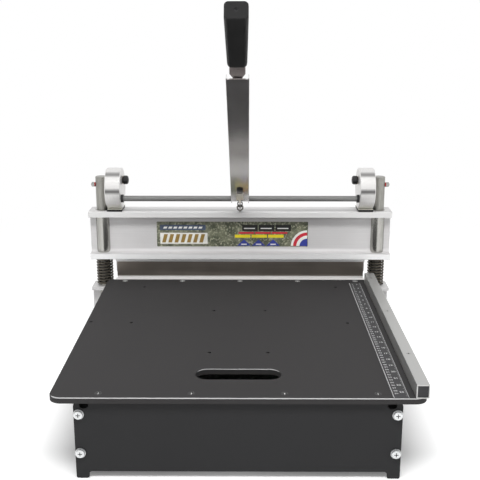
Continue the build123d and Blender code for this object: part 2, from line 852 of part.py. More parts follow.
def pad_centre_x():
    return (cam_outer_x + cam_inner_x) / 2


def pad_screw_ys():
    return (web_back + cap_head_diameter, )


def make_blade_holder():
    half = anvil_length / 2
    leg_back = blade_back + holder_leg_thickness
    holder = block(-half, half, blade_front, beam_back - holder_back_inset, holder_bottom, upper_bottom)
    holder += block(-half, half, blade_back, leg_back, holder_bottom - holder_leg_height, holder_bottom)
    for x in holder_bolt_xs():
        holder -= rod_z(screw_diameter / 2 + screw_clearance, holder_bottom - overrun,
                        upper_bottom + overrun, x, holder_bolt_y())
    for x in blade_bolt_xs():
        holder -= rod_y(screw_diameter / 2 + screw_clearance, blade_back - overrun, leg_back + overrun,
                        x, blade_bolt_z())
    return holder


def blade_bolt_xs():
    reach = blade_length / 2 - blade_bolt_end_inset
    return spaced(-reach, reach, blade_bolt_count)


def blade_bolt_z():
    return holder_bottom - holder_leg_height / 2


def make_blade():
    outline = Polyline(
        (blade_front, holder_bottom), (blade_front, blade_bottom),
        (blade_front + blade_edge_land, blade_bottom),
        (blade_back, blade_bottom + blade_bevel_height), (blade_back, holder_bottom), close=True)
    blade = extrude(Plane.YZ * make_face(outline), blade_length / 2, both=True)
    for x in blade_bolt_xs():
        blade -= rod_y(screw_diameter / 2 + screw_clearance,
                       blade_back - blade_bolt_depth - screw_clearance, blade_back + overrun,
                       x, blade_bolt_z())
    return blade


def make_blade_bolts():
    bolt = cap_screw(screw_diameter, cap_head_diameter, cap_head_height, socket_diameter, socket_depth,
                     holder_leg_thickness + blade_bolt_depth)
    return group([Pos(x, blade_back + holder_leg_thickness, blade_bolt_z()) * facing_back * bolt
                  for x in blade_bolt_xs()])


def make_holder_bolts():
    bolt = cap_screw(screw_diameter, cap_head_diameter, cap_head_height, socket_diameter, socket_depth,
                     beam_flange + holder_step_height)
    return group([Pos(x, holder_bolt_y(), upper_bottom + beam_flange) * bolt for x in holder_bolt_xs()])


def make_wear_pad(side):
    x = side * pad_centre_x()
    pad = block(x - pad_width / 2, x + pad_width / 2, beam_front, beam_back, upper_top, pad_top)
    pad = fillet(pad.edges().filter_by(Axis.Z), pad_corner_radius)
    for y in pad_screw_ys():
        pad -= Pos(x, y, pad_top) * flat_screw_hole(pad_thickness + overrun)
    return pad


def make_pad_screws():
    screw = flat_screw(pad_thickness + pad_screw_depth)
    return group([Pos(side * pad_centre_x(), y, pad_top) * screw
                  for side in (-1, 1) for y in pad_screw_ys()])


def make_label():
    height = beam_height - 2 * beam_flange - 2 * label_edge_gap
    face = RectangleRounded(label_width, height, label_corner_radius)
    level = (upper_bottom + upper_top) / 2 - label_drop
    return Pos(label_centre_x, web_front, level) * facing_front * extrude(face, label_thickness)


# Cams: the rim's distance to a flat below falls in step with the angle that the lever is raised
def cam_support(angle):
    """Distance from the pivot to the rim's tangent whose normal points at this angle.

    Zero points straight down and a quarter turn points to the rear.
    """
    return cam_low_radius - cam_lift_per_radian * angle


def cam_point(angle):
    """The point of the working rim where its normal points at this angle, as (Y, Z) from the pivot."""
    normal = Vector(math.sin(angle), -math.cos(angle))
    along = Vector(math.cos(angle), math.sin(angle))
    return normal * cam_support(angle) - along * cam_lift_per_radian


def disc_touch(point, side):
    """Where a line from a point outside the disc touches it, on the side that the sign gives."""
    centre = Vector(-cam_disc_forward, -cam_disc_drop)
    away = point - centre
    turn = math.atan2(away.Y, away.X) + side * math.acos(cam_disc_radius / away.length)
    return centre + Vector(math.cos(turn), math.sin(turn)) * cam_disc_radius


def cam_profile():
    """The side view of a cam: an eccentric disc whose lower rear is the working rim."""
    rim = [cam_point(angle) for angle in spaced(cam_first_angle, cam_last_angle, cam_rim_count)]
    first, last = rim[0], rim[-1]
    centre = (-cam_disc_forward, -cam_disc_drop)
    outline = [Spline(*rim, tangents=[rim[1] - first, last - rim[-2]]),
               Polyline(last, disc_touch(last, 1), centre, disc_touch(first, -1), first)]
    body = make_face(outline) + Pos(*centre) * Circle(cam_disc_radius)
    corners = [body.vertices().sort_by_distance(end)[0] for end in (first, last)]
    return fillet(corners, cam_corner_radius)


def make_cam(side):
    cam = extrude(Plane.YZ * cam_profile(), cam_thickness)
    cam = chamfer(cam.faces().filter_by(Axis.X).edges(), cam_edge_chamfer)
    bore = pivot_diameter / 2 + running_clearance + pivot_bush_wall + post_seat_clearance
    cam -= rod_x(bore, -overrun, cam_thickness + overrun, 0, 0)
    cam -= rod_x(bar_diameter / 2 + post_seat_clearance, -overrun, bar_socket_depth, -bar_forward, -bar_drop)
    cam = Pos(cam_inner_x, beam_centre_y, pivot_z) * cam
    return cam if side > 0 else mirrored(cam)


def make_cam_bushes():
    inner = pivot_diameter / 2 + running_clearance
    bush = rod_x(inner + pivot_bush_wall, cam_inner_x, cam_outer_x, beam_centre_y, pivot_z)
    bush -= rod_x(inner, cam_inner_x - overrun, cam_outer_x + overrun, beam_centre_y, pivot_z)
    return group([mirrored(bush), bush])


def pivot_seat():
    """Where the pivot screw's head starts, with room for the cam to turn."""
    return cam_inner_x - cam_post_gap


def post_side():
    """The outer side of the right post."""
    return post_x + post_diameter / 2


def pivot_end():
    """Where the pivot screw ends, inside the post."""
    return post_side() - pivot_end_cover


def make_pivot_screws():
    """Knob-like screws that the cams turn on, their round heads between the cams."""
    head = rod_z(pivot_head_diameter / 2, 0, pivot_head_height, 0, 0)
    head = fillet(head.edges().group_by(Axis.Z)[-1], pivot_head_round)
    head = fillet(head.edges().group_by(Axis.Z)[0], pivot_seat_round)
    tool = extrude(RegularPolygon(pivot_socket_diameter / 2, 6), pivot_socket_depth)
    head -= Pos(0, 0, pivot_head_height - pivot_socket_depth) * tool
    screw = head + rod_z(pivot_diameter / 2, pivot_seat() - pivot_end(), 0, 0, 0)
    right = Pos(pivot_seat(), beam_centre_y, pivot_z) * facing_left * screw
    return group([mirrored(right), right])


def make_post_studs():
    end = post_side() + stud_washer_thickness + stud_nut_height + stud_proud
    right = rod_x(stud_diameter / 2, post_side() - stud_depth, end, beam_centre_y, pivot_z - stud_drop)
    return group([mirrored(right), right])


def make_stud_washers():
    ring = washer(stud_washer_diameter, stud_washer_thickness, stud_diameter + 2 * screw_clearance)
    right = Pos(post_side(), beam_centre_y, pivot_z - stud_drop) * facing_right * ring
    return group([mirrored(right), right])


def make_stud_nuts():
    nut = hex_nut(stud_nut_across_flats, stud_nut_height, stud_diameter + 2 * screw_clearance)
    seat = post_side() + stud_washer_thickness
    right = Pos(seat, beam_centre_y, pivot_z - stud_drop) * facing_right * nut
    return group([mirrored(right), right])


# Cross bar and lever
def make_cross_bar():
    reach = cam_inner_x + bar_socket_depth - screw_clearance
    return rod_x(bar_diameter / 2, -reach, reach, bar_y, bar_z)


def make_bar_collars():
    ring = rod_x(collar_diameter / 2, cam_inner_x - collar_length, cam_inner_x, bar_y, bar_z)
    ring -= rod_x(bar_diameter / 2 + post_seat_clearance, cam_inner_x - 2 * collar_length,
                  cam_inner_x + overrun, bar_y, bar_z)
    return group([mirrored(ring), ring])


# The lever's own frame: X across, Y from the grip down to the bar, Z out of its back
rise = math.radians(lever_angle)
lean = math.radians(lever_lean)
uphill = Vector(0, -math.cos(rise), math.sin(rise))
lever_back = Vector(0, math.sin(rise), math.cos(rise))
lever_across = Vector(1, 0, 0) * math.cos(lean) + uphill * math.sin(lean)
lever_frame = Plane(origin=(0, bar_y, bar_z), x_dir=lever_across, z_dir=lever_back)
straight_frame = Plane(origin=(0, bar_y, bar_z), x_dir=(1, 0, 0), z_dir=lever_back)
web_face = -lever_depth / 2
neck_level = lever_depth / 2 - lever_wall - neck_thickness / 2
neck_start = lever_length - neck_tang_length
grip_start = lever_length + grip_lever_gap
grip_end = grip_start + grip_length
neck_end = grip_start + grip_bore_depth
neck_screw_places = [lever_length - inset for inset in neck_screw_insets]


def on_lever(piece):
    return lever_frame.location * piece


def make_lever_tube():
    half = lever_width / 2
    end = -lever_length
    section = RectangleRounded(lever_width, lever_depth, lever_corner_radius)
    section -= Rectangle(lever_width - 2 * lever_wall, lever_depth - 2 * lever_wall)
    tube = Rot(90, 0, 0) * extrude(section, lever_length + lever_horn + lever_depth)
    tube = Pos(0, lever_depth / 2, 0) * tube
    side = Polyline((0, web_face), (end - lever_horn, web_face), (end + lever_end_slope, -web_face),
                    (0, -web_face), close=True)
    keep = extrude(Plane.YZ * make_face(side), half, both=True)
    keep += rod_x(lever_depth / 2, -half, half, 0, 0)
    tube = tube & keep
    tube -= block(-half + lever_wall, half - lever_wall, end - lever_depth, end, -lever_depth, 0)
    tube -= block(-half + lever_wall, half - lever_wall, -lever_wall_start, lever_depth,
                  -lever_depth, lever_depth)
    tube -= block(-half + lever_wall, half - lever_wall, end - lever_depth, end + lever_back_opening,
                  0, lever_depth)
    hole = SlotOverall(lock_hole_length, lock_hole_width, rotation=90)
    tube -= Pos(0, -lock_hole_start - lock_hole_length / 2, -lever_depth) * extrude(hole, lever_depth)
    for place in neck_screw_places:
        tube -= rod_z(neck_screw_diameter / 2 + screw_clearance, 0, lever_depth, 0, -place)
    bar_hole = rod_x(bar_diameter / 2 + post_seat_clearance, -lever_width, lever_width, 0, 0)
    return on_lever(tube) - straight_frame.location * bar_hole


def make_lever_neck():
    bevel_start = lever_length - neck_bevel_inside
    shoulder_start = bevel_start + neck_bevel_length
    shoulder_end = shoulder_start + neck_shoulder_length
    half_tang = neck_tang_width / 2
    half_shoulder = neck_shoulder_width / 2
    half = neck_width / 2
    right = [(half_tang, -neck_start), (half_tang, -bevel_start), (half_shoulder, -shoulder_start),
             (half_shoulder, -shoulder_end), (half, -shoulder_end), (half, -neck_end)]
    left = [(-x, y) for x, y in reversed(right)]
    low = neck_level - neck_thickness / 2
    neck = Pos(0, 0, low) * extrude(make_face(Polyline(*right, *left, close=True)), neck_thickness)
    neck -= block(-neck_seam_width / 2, neck_seam_width / 2, -grip_start, -shoulder_end,
                  low - overrun, low + neck_seam_depth)
    for place in neck_screw_places:
        neck -= rod_z(neck_screw_diameter / 2 + screw_clearance, low - overrun,
                      low + neck_thickness + overrun, 0, -place)
    neck -= rod_y(grip_screw_diameter / 2 + screw_clearance, -neck_end - overrun,
                  -neck_end + grip_screw_depth + screw_clearance, 0, neck_level)
    return on_lever(neck)


def make_neck_screws():
    screw = cap_screw(neck_screw_diameter, neck_screw_head_diameter, neck_screw_head_height,
                      socket_diameter, socket_depth, lever_wall + neck_thickness)
    return group([on_lever(Pos(0, -place, lever_depth / 2) * screw) for place in neck_screw_places])


def grip_section(share, scale):
    """A rounded outline across the grip at a share of its length."""
    along = grip_start + share * grip_length
    width = grip_width * scale
    thickness = grip_thickness * scale
    plane = Plane(origin=(0, -along, neck_level), x_dir=(1, 0, 0), z_dir=(0, -1, 0))
    return plane * RectangleRounded(width, thickness, grip_corner_radius * scale)


def make_grip():
    sections = [grip_section(share, scale)
                for share, scale in zip(grip_station_shares, grip_width_shares)]
    grip = loft(sections, ruled=True)
    half_width = neck_width / 2 + grip_bore_clearance
    half_thickness = neck_thickness / 2 + grip_bore_clearance
    grip -= block(-half_width, half_width, -neck_end - grip_bore_clearance, -grip_start + overrun,
                  neck_level - half_thickness, neck_level + half_thickness)
    grip -= rod_y(grip_recess_diameter / 2, -grip_end - overrun, -grip_end + grip_recess_depth, 0, neck_level)
    grip -= rod_y(grip_screw_diameter / 2 + screw_clearance, -grip_end, -neck_end, 0, neck_level)
    return on_lever(grip)


def make_grip_screw():
    seat = grip_end - grip_recess_depth
    screw = cap_screw(grip_screw_diameter, grip_recess_diameter - 2 * screw_clearance,
                      grip_screw_head_height, grip_socket_diameter, grip_socket_depth,
                      seat - neck_end + grip_screw_depth)
    return on_lever(Pos(0, -seat, neck_level) * facing_front * screw)


# Lock between the upper beam and the lever, drawn in the lever's own frame beyond its eye
eye_centre_z = upper_top + eye_washer_thickness + eye_outer_diameter / 2
eye_ring_radius = (eye_outer_diameter - eye_wire) / 2
hook_roll = link_wire / 2 + link_clearance + hook_thickness
chain_level = web_face - hook_web_gap - hook_roll


def lever_place(y, z):
    """A point beside the lever as distances along it and off it, in its own frame."""
    away = Vector(0, y - bar_y, z - bar_z)
    return away.dot(lever_frame.y_dir), away.dot(lever_frame.z_dir)


def make_eye_screw():
    ring = Pos(0, eye_y, eye_centre_z) * Rot(90, 0, 0) * Torus(eye_ring_radius, eye_wire / 2)
    shank = rod_z(eye_shank_diameter / 2, upper_top - eye_shank_depth,
                  upper_top + eye_washer_thickness + eye_wire / 2, 0, eye_y)
    return ring + shank


def make_eye_washer():
    return Pos(0, eye_y, upper_top) * washer(eye_washer_diameter, eye_washer_thickness,
                                             eye_shank_diameter + 2 * screw_clearance)


def link_loop(outer_width, centre_length):
    """A round-wire link in the XY plane, long way along Y, centred on the origin."""
    centre_width = outer_width - link_wire
    loop = SlotCenterToCenter(centre_length - centre_width, centre_width, rotation=90)
    path = loop.face().outer_wire()
    return sweep(Plane(path @ 0, z_dir=path % 0) * Circle(link_wire / 2), path=path)


def make_small_link():
    """The link through the eye, seen edge on."""
    eye = Vector(0, *lever_place(eye_y, eye_centre_z + eye_ring_radius))
    next_wire = Vector(0, -large_link_start, chain_level)
    along = (next_wire - eye).normalized()
    low = eye - along * (eye_wire / 2 + link_clearance + link_wire / 2)
    high = next_wire + along * (link_wire + link_clearance)
    loop = link_loop(small_link_width, (high - low).length)
    placing = Plane(origin=(low + high) * 0.5, x_dir=along.cross(Vector(1, 0, 0)), z_dir=(1, 0, 0))
    return on_lever(placing.location * loop)


def make_large_link():
    """The link between the small one and the hook, seen face on."""
    middle = (large_link_start + large_link_end) / 2
    loop = link_loop(large_link_width, large_link_end - large_link_start)
    return on_lever(Pos(0, -middle, chain_level) * loop)


def make_lock_hook():
    """A plate rolled round the large link, its end over the hole in the lever's web."""
    back = chain_level + hook_roll
    front = back - hook_thickness
    plate = block(-hook_width / 2, hook_width / 2, -hook_end, -hook_start, front, back)
    plate = fillet(plate.edges().filter_by(Axis.Z).group_by(Axis.Y)[0], hook_thickness)
    tongue = hook_tongue_width / 2
    plate += block(-tongue, tongue, -hook_start, -large_link_end, front, back)
    plate += rod_x(hook_roll, -tongue, tongue, -large_link_end, chain_level)
    plate -= rod_x(hook_roll - hook_thickness, -hook_width, hook_width, -large_link_end, chain_level)
    return on_lever(plate)


# The footprint's middle, from the table's front edge to the cams' backs
cam_back = beam_centre_y + cam_support(math.radians(90))
centre_y = (-table_front + cam_back) / 2

nodes = {
    "table_plate": make_table_plate,
    "table_screws": make_table_screws,
    "table_nuts": make_table_nuts,
    "ruler_strip": make_ruler_strip,
    "fence_tube": make_fence_tube,
    "fence_screws": make_fence_screws,
    "fence_plugs": make_fence_plugs,
    "front_panel": make_front_panel,
    "right_side_panel": make_side_panel,
    "left_side_panel": lambda: mirrored(make_side_panel()),
    "panel_screws": make_panel_screws,
    "panel_washers": make_panel_washers,
    "panel_nuts": make_panel_nuts,
    "rear_rail": make_rear_rail,
    "rail_screws": make_rail_screws,
    "anvil_bar": make_anvil_bar,
    "anvil_bolts": make_anvil_bolts,
    "lower_beam": make_lower_beam,
    "web_bolts": make_web_bolts,
    "web_nuts": make_web_nuts,
    "rear_feet": make_rear_feet,
    "left_post": lambda: make_post(-1),
    "right_post": lambda: make_post(1),
    "post_end_washers": make_post_end_washers,
    "post_end_screws": make_post_end_screws,
    "post_bushes": make_post_bushes,
    "left_spring": lambda: make_spring(-1),
    "right_spring": lambda: make_spring(1),
    "upper_beam": make_upper_beam,
    "blade_holder": make_blade_holder,
    "blade": make_blade,
    "blade_bolts": make_blade_bolts,
    "holder_bolts": make_holder_bolts,
    "left_wear_pad": lambda: make_wear_pad(-1),
    "right_wear_pad": lambda: make_wear_pad(1),
    "pad_screws": make_pad_screws,
    "beam_label": make_label,
    "left_cam": lambda: make_cam(-1),
    "right_cam": lambda: make_cam(1),
    "cam_bushes": make_cam_bushes,
    "pivot_screws": make_pivot_screws,
    "post_studs": make_post_studs,
    "stud_washers": make_stud_washers,
    "stud_nuts": make_stud_nuts,
    "cross_bar": make_cross_bar,
    "bar_collars": make_bar_collars,
    "lever_tube": make_lever_tube,
    "lever_neck": make_lever_neck,
    "neck_screws": make_neck_screws,
    "grip": make_grip,
    "grip_screw": make_grip_screw,
    "eye_screw": make_eye_screw,
    "eye_washer": make_eye_washer,
    "small_link": make_small_link,
    "large_link": make_large_link,
    "lock_hook": make_lock_hook,
}

os.makedirs("parts", exist_ok=True)
for name, make in nodes.items():
    piece = Pos(0, -centre_y, 0) * make()
    piece.label = name
    export_step(piece, os.path.join("parts", name + ".step"))
    print(name, len(piece.solids()), round(piece.volume, 1))
print("middle of the footprint", round(centre_y, 3))
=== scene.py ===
import math

import bpy
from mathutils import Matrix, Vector


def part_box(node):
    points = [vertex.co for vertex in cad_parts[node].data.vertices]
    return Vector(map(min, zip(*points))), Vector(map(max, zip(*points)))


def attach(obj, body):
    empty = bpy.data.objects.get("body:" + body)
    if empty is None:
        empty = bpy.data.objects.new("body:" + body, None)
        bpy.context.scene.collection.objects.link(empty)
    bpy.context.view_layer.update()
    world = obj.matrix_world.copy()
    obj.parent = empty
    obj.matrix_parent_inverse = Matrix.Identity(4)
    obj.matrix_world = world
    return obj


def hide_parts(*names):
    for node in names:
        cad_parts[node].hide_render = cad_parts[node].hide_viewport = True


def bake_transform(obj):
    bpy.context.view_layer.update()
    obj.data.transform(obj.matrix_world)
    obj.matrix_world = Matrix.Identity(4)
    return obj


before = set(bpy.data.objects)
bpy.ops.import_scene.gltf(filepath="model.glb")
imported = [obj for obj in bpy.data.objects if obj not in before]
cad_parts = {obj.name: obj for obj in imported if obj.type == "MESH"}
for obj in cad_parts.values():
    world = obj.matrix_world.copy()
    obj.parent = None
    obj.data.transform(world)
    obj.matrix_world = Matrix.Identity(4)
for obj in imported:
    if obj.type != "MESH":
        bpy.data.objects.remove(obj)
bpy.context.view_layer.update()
mm = 0.001
centimetre = 10 * mm
inch = 25.4 * mm

# Places taken from the frame
table_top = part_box("table_plate")[1].z
cutting_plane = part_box("anvil_bar")[1].y
strip_low, strip_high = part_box("ruler_strip")
beam_low, beam_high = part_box("upper_beam")
label_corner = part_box("beam_label")[0]
pan_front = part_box("panel_screws")[0].y

# Camera: the photograph's own, solved from the ruler's inches
camera_lens = 62.76
camera_sensor = 36.0
camera_place = (9.42 * mm, cutting_plane - 1763.42 * mm, table_top + 554.05 * mm)
camera_pitch = math.radians(90 - 14.878)
camera_turn = math.radians(0.312)


# Building blocks for materials
def new_material(name):
    material = bpy.data.materials.new(name)
    material.use_nodes = True
    return material, material.node_tree, material.node_tree.nodes["Principled BSDF"]


def feed(tree, socket, value):
    """Gives a socket a value, or a link from another node's output."""
    if isinstance(value, bpy.types.NodeSocket):
        tree.links.new(value, socket)
    else:
        socket.default_value = value


def add_node(tree, kind, settings=None, **inputs):
    """A shader node with its inputs given by name, each a value or another node's output."""
    node = tree.nodes.new(kind)
    for key, value in (settings or {}).items():
        setattr(node, key, value)
    for key, value in inputs.items():
        feed(tree, node.inputs[key.replace("_", " ")], value)
    return node


def place_on_object(tree, scale=(1.0, 1.0, 1.0)):
    """Object coordinates stretched by a scale per axis."""
    coordinates = add_node(tree, "ShaderNodeTexCoord")
    mapping = add_node(tree, "ShaderNodeMapping", Vector=coordinates.outputs["Object"], Scale=scale)
    return mapping.outputs["Vector"]


def own_normal(tree):
    return add_node(tree, "ShaderNodeNewGeometry").outputs["True Normal"]


def parts_of(tree, vector):
    """The outputs X, Y and Z of a vector."""
    return add_node(tree, "ShaderNodeSeparateXYZ", Vector=vector).outputs


def noise(tree, vector, scale, detail):
    node = add_node(tree, "ShaderNodeTexNoise", Vector=vector, Scale=scale, Detail=detail, Roughness=0.55)
    return node.outputs["Fac"]


def spread(tree, value, low, high, to_low, to_high):
    """A value moved from one range to another."""
    node = add_node(tree, "ShaderNodeMapRange", Value=value, From_Min=low, From_Max=high, To_Min=to_low,
                    To_Max=to_high)
    return node.outputs["Result"]


def math_node(tree, operation, first, second=0.0):
    node = add_node(tree, "ShaderNodeMath", {"operation": operation})
    feed(tree, node.inputs[0], first)
    feed(tree, node.inputs[1], second)
    return node.outputs["Value"]


def blend_colours(tree, factor, first, second):
    """Two colours mixed, by the mix node's sockets for colours: 6 and 7 in, and 2 out."""
    node = add_node(tree, "ShaderNodeMix", {"data_type": "RGBA"})
    for index, value in ((0, factor), (6, first), (7, second)):
        feed(tree, node.inputs[index], value)
    return node.outputs[2]


def between(tree, value, low, high):
    """One between two limits, and zero outside them."""
    return math_node(tree, "MULTIPLY", math_node(tree, "GREATER_THAN", value, low),
                     math_node(tree, "LESS_THAN", value, high))


def softly_between(tree, value, low, high, soft):
    """Like between, with each limit softened over a distance to both sides."""
    rise = spread(tree, value, low - soft, low + soft, 0.0, 1.0)
    fall = spread(tree, value, high - soft, high + soft, 1.0, 0.0)
    return math_node(tree, "MULTIPLY", rise, fall)


def facing(tree, axis, low, high):
    """Zero to one as the surface's own normal turns towards an axis."""
    return spread(tree, parts_of(tree, own_normal(tree))[axis], low, high, 0.0, 1.0)


def shade(colour, factor):
    return (*(min(1.0, channel * factor) for channel in colour), 1.0)


def vary_colour(tree, shader, value, low, high, colour, contrast):
    """A base colour that goes from darker to brighter with a value."""
    varied = blend_colours(tree, spread(tree, value, low, high, 0.0, 1.0),
                           shade(colour, 1 - contrast), shade(colour, 1 + contrast))
    tree.links.new(varied, shader.inputs["Base Color"])


def vary_roughness(tree, shader, value, roughness, contrast):
    varied = spread(tree, value, 0.3, 0.7, roughness * (1 - contrast), roughness * (1 + contrast))
    tree.links.new(varied, shader.inputs["Roughness"])


def paint_over(tree, shader, factor, colour):
    """Another colour over the one that the shader has, where the factor is one."""
    below = shader.inputs["Base Color"].links[0].from_socket
    tree.links.new(blend_colours(tree, factor, below, (*colour, 1.0)), shader.inputs["Base Color"])


def bump(tree, shader, height, strength, distance):
    node = add_node(tree, "ShaderNodeBump", Height=height, Strength=strength, Distance=distance)
    tree.links.new(node.outputs["Normal"], shader.inputs["Normal"])


def lean_shading(tree, shader, lean):
    """Tilts the shading of the whole surface along a direction, over the bump that it has."""
    along = add_node(tree, "ShaderNodeVectorMath", {"operation": "DOT_PRODUCT"})
    feed(tree, along.inputs[0], place_on_object(tree))
    feed(tree, along.inputs[1], lean)
    whole = add_node(tree, "ShaderNodeBump", Height=along.outputs["Value"], Strength=1.0, Distance=1.0,
                     Normal=shader.inputs["Normal"].links[0].from_socket)
    tree.links.new(whole.outputs["Normal"], shader.inputs["Normal"])


# Kinds of material
def brushed_metal(name, colour, roughness, stretch, contrast, grain, clouds_stretch=(1.0, 1.0, 1.0),
                  metallic=1.0, bands=(), lean=None):
    """Bare metal with fine lines along the axis that the stretch is small on.

    Each band is an axis, its low and high limit and another colour. The lean tilts the shading.
    """
    material, tree, shader = new_material(name)
    lines = noise(tree, place_on_object(tree, stretch), 1.0, 3.0)
    clouds = noise(tree, place_on_object(tree, clouds_stretch), 18.0, 3.0)
    both = math_node(tree, "ADD", math_node(tree, "MULTIPLY", lines, 0.6),
                     math_node(tree, "MULTIPLY", clouds, 0.4))
    vary_colour(tree, shader, both, 0.35, 0.65, colour, contrast)
    vary_roughness(tree, shader, both, roughness, 0.18)
    for axis, low, high, other in bands:
        place = parts_of(tree, place_on_object(tree))[axis]
        paint_over(tree, shader, between(tree, place, low, high), other)
    shader.inputs["Metallic"].default_value = metallic
    bump(tree, shader, lines, grain, 0.2 * mm)
    if lean:
        lean_shading(tree, shader, lean)
    return material


def painted_metal(name, colour, roughness, specular, bevel_painted_highlight=None):
    """Powder coat with a fine orange peel, and a painted highlight in another colour on a bevel that faces
    front and up.
    """
    material, tree, shader = new_material(name)
    plain = place_on_object(tree)
    peel = noise(tree, plain, 900.0, 2.0)
    clouds = noise(tree, plain, 7.0, 4.0)
    vary_colour(tree, shader, clouds, 0.3, 0.7, colour, 0.08)
    vary_roughness(tree, shader, clouds, roughness, 0.08)
    # Painted highlight: the bevel that faces front and up is drawn paler for the light that it catches
    if bevel_painted_highlight:
        to_front = facing(tree, "Y", -0.35, -0.60)
        to_above = facing(tree, "Z", 0.25, 0.45)
        paint_over(tree, shader, math_node(tree, "MULTIPLY", to_front, to_above), bevel_painted_highlight)
    shader.inputs["Specular IOR Level"].default_value = specular
    bump(tree, shader, peel, 0.12, 0.1 * mm)
    return material


def moulded(name, colour, roughness, grain_scale=500.0, grain=0.25, specular=0.4, top=None):
    """Moulded plastic or rubber with a fine leathery skin, and a painted reflection in another colour on its
    top.
    """
    material, tree, shader = new_material(name)
    plain = place_on_object(tree)
    cells = add_node(tree, "ShaderNodeTexVoronoi", Vector=plain, Scale=grain_scale)
    clouds = noise(tree, plain, 30.0, 3.0)
    vary_colour(tree, shader, clouds, 0.3, 0.7, colour, 0.15)
    vary_roughness(tree, shader, clouds, roughness, 0.1)
    # Painted reflection: faces turned up are drawn in the top colour for the light that they reflect
    if top:
        paint_over(tree, shader, facing(tree, "Z", 0.6, 0.8), top)
    shader.inputs["Specular IOR Level"].default_value = specular
    bump(tree, shader, cells.outputs["Distance"], grain, 0.15 * mm)
    return material


def label_ink(name, colour):
    return moulded(name, colour, 0.45, 400.0, 0.03, 0.4)


def mottled_print(name, dark, middle, pale):
    """Printed film with a mottled ground of two tones and flecks of a third."""
    material, tree, shader = new_material(name)
    plain = place_on_object(tree)
    broad = spread(tree, noise(tree, plain, 60.0, 3.0), 0.38, 0.62, 0.0, 1.0)
    flecks = spread(tree, noise(tree, plain, 260.0, 2.0), 0.52, 0.66, 0.0, 1.0)
    ground = blend_colours(tree, broad, (*dark, 1.0), (*middle, 1.0))
    tree.links.new(blend_colours(tree, flecks, ground, (*pale, 1.0)), shader.inputs["Base Color"])
    shader.inputs["Roughness"].default_value = 0.45
    return material


# Stretch of the fine lines in bare metal, and of the clouds on the posts
along_x = (6.0, 900.0, 900.0)
along_y = (900.0, 6.0, 900.0)
around_x = (900.0, 60.0, 60.0)
down_the_post = (900.0, 900.0, 60.0)
all_ways = (250.0, 250.0, 250.0)
across_lever = (700.0, 90.0, 90.0)
post_streaks = (2.2, 2.2, 0.12)

# Bands of another tone, each with its axis and its limits in the frame
# Painted highlights: the two flange bands are drawn paler than the beam to stand in for the light that the
# flanges catch and reflect
lower_flange_painted_highlight = ("Z", beam_low.z - 1 * mm, beam_low.z + 12.6 * mm, (0.92, 0.92, 0.92))
upper_flange_painted_highlight = ("Z", beam_high.z - 12.6 * mm, beam_high.z - 0.3 * mm, (0.76, 0.755, 0.75))
ground_blade = ("Z", 0.0, table_top + 3.8 * mm, (0.80, 0.79, 0.78))
rear_screws = ("Y", cutting_plane - 100 * mm, 1.0, (0.30, 0.30, 0.295))
# Painted glint: the table screws' driver recesses are drawn near white for the light that glints in them
screw_recess_painted_glint = ("Z", 0.0, table_top - 0.5 * mm, (0.95, 0.95, 0.94))

# The lever's shading leans along its length
lever_direction = (0.0, -0.813, 0.582)
lever_lean = tuple(0.072 * part for part in lever_direction)

# The panel screws' driver recess: its floor starts between these depths behind the head's front
recess_from = 0.7 * mm
recess_to = 0.9 * mm

# Painted reflections on the cams' rims, bright and dark: two limits above the table and their softness in
# millimetres, then the tone
rim_painted_reflections = ((229, 236, 2.0, 0.30), (207, 226, 4.0, 0.84), (194, 203, 3.0, 0.17))


def pan_head_zinc():
    """Zinc plate with the flat floor of the driver recess in shade."""
    material = brushed_metal("pan_head_zinc", (0.62, 0.63, 0.635), 0.26, all_ways, 0.10, 0.05)
    tree = material.node_tree
    depth = parts_of(tree, place_on_object(tree))["Y"]
    deep = spread(tree, depth, pan_front + recess_from, pan_front + recess_to, 0.0, 1.0)
    recess_floor = math_node(tree, "MULTIPLY", deep, facing(tree, "Y", -0.90, -0.99))
    paint_over(tree, tree.nodes["Principled BSDF"], recess_floor, (0.03, 0.03, 0.03))
    return material


def turned_steel():
    """The cams' steel, with a painted bright reflection in the middle between darker painted reflections on
    the rims, not on the flat sides.
    """
    material = brushed_metal("turned_steel", (0.76, 0.75, 0.74), 0.38, around_x, 0.08, 0.03, metallic=0.72)
    tree = material.node_tree
    height = parts_of(tree, place_on_object(tree))["Z"]
    sideways = math_node(tree, "ABSOLUTE", parts_of(tree, own_normal(tree))["X"])
    rim = spread(tree, sideways, 0.3, 0.5, 1.0, 0.0)
    for low, high, soft, tone in rim_painted_reflections:
        band = softly_between(tree, height, table_top + low * mm, table_top + high * mm, soft * mm)
        paint_over(tree, tree.nodes["Principled BSDF"], math_node(tree, "MULTIPLY", band, rim),
                   (tone, tone * 0.985, tone * 0.97))
    return material


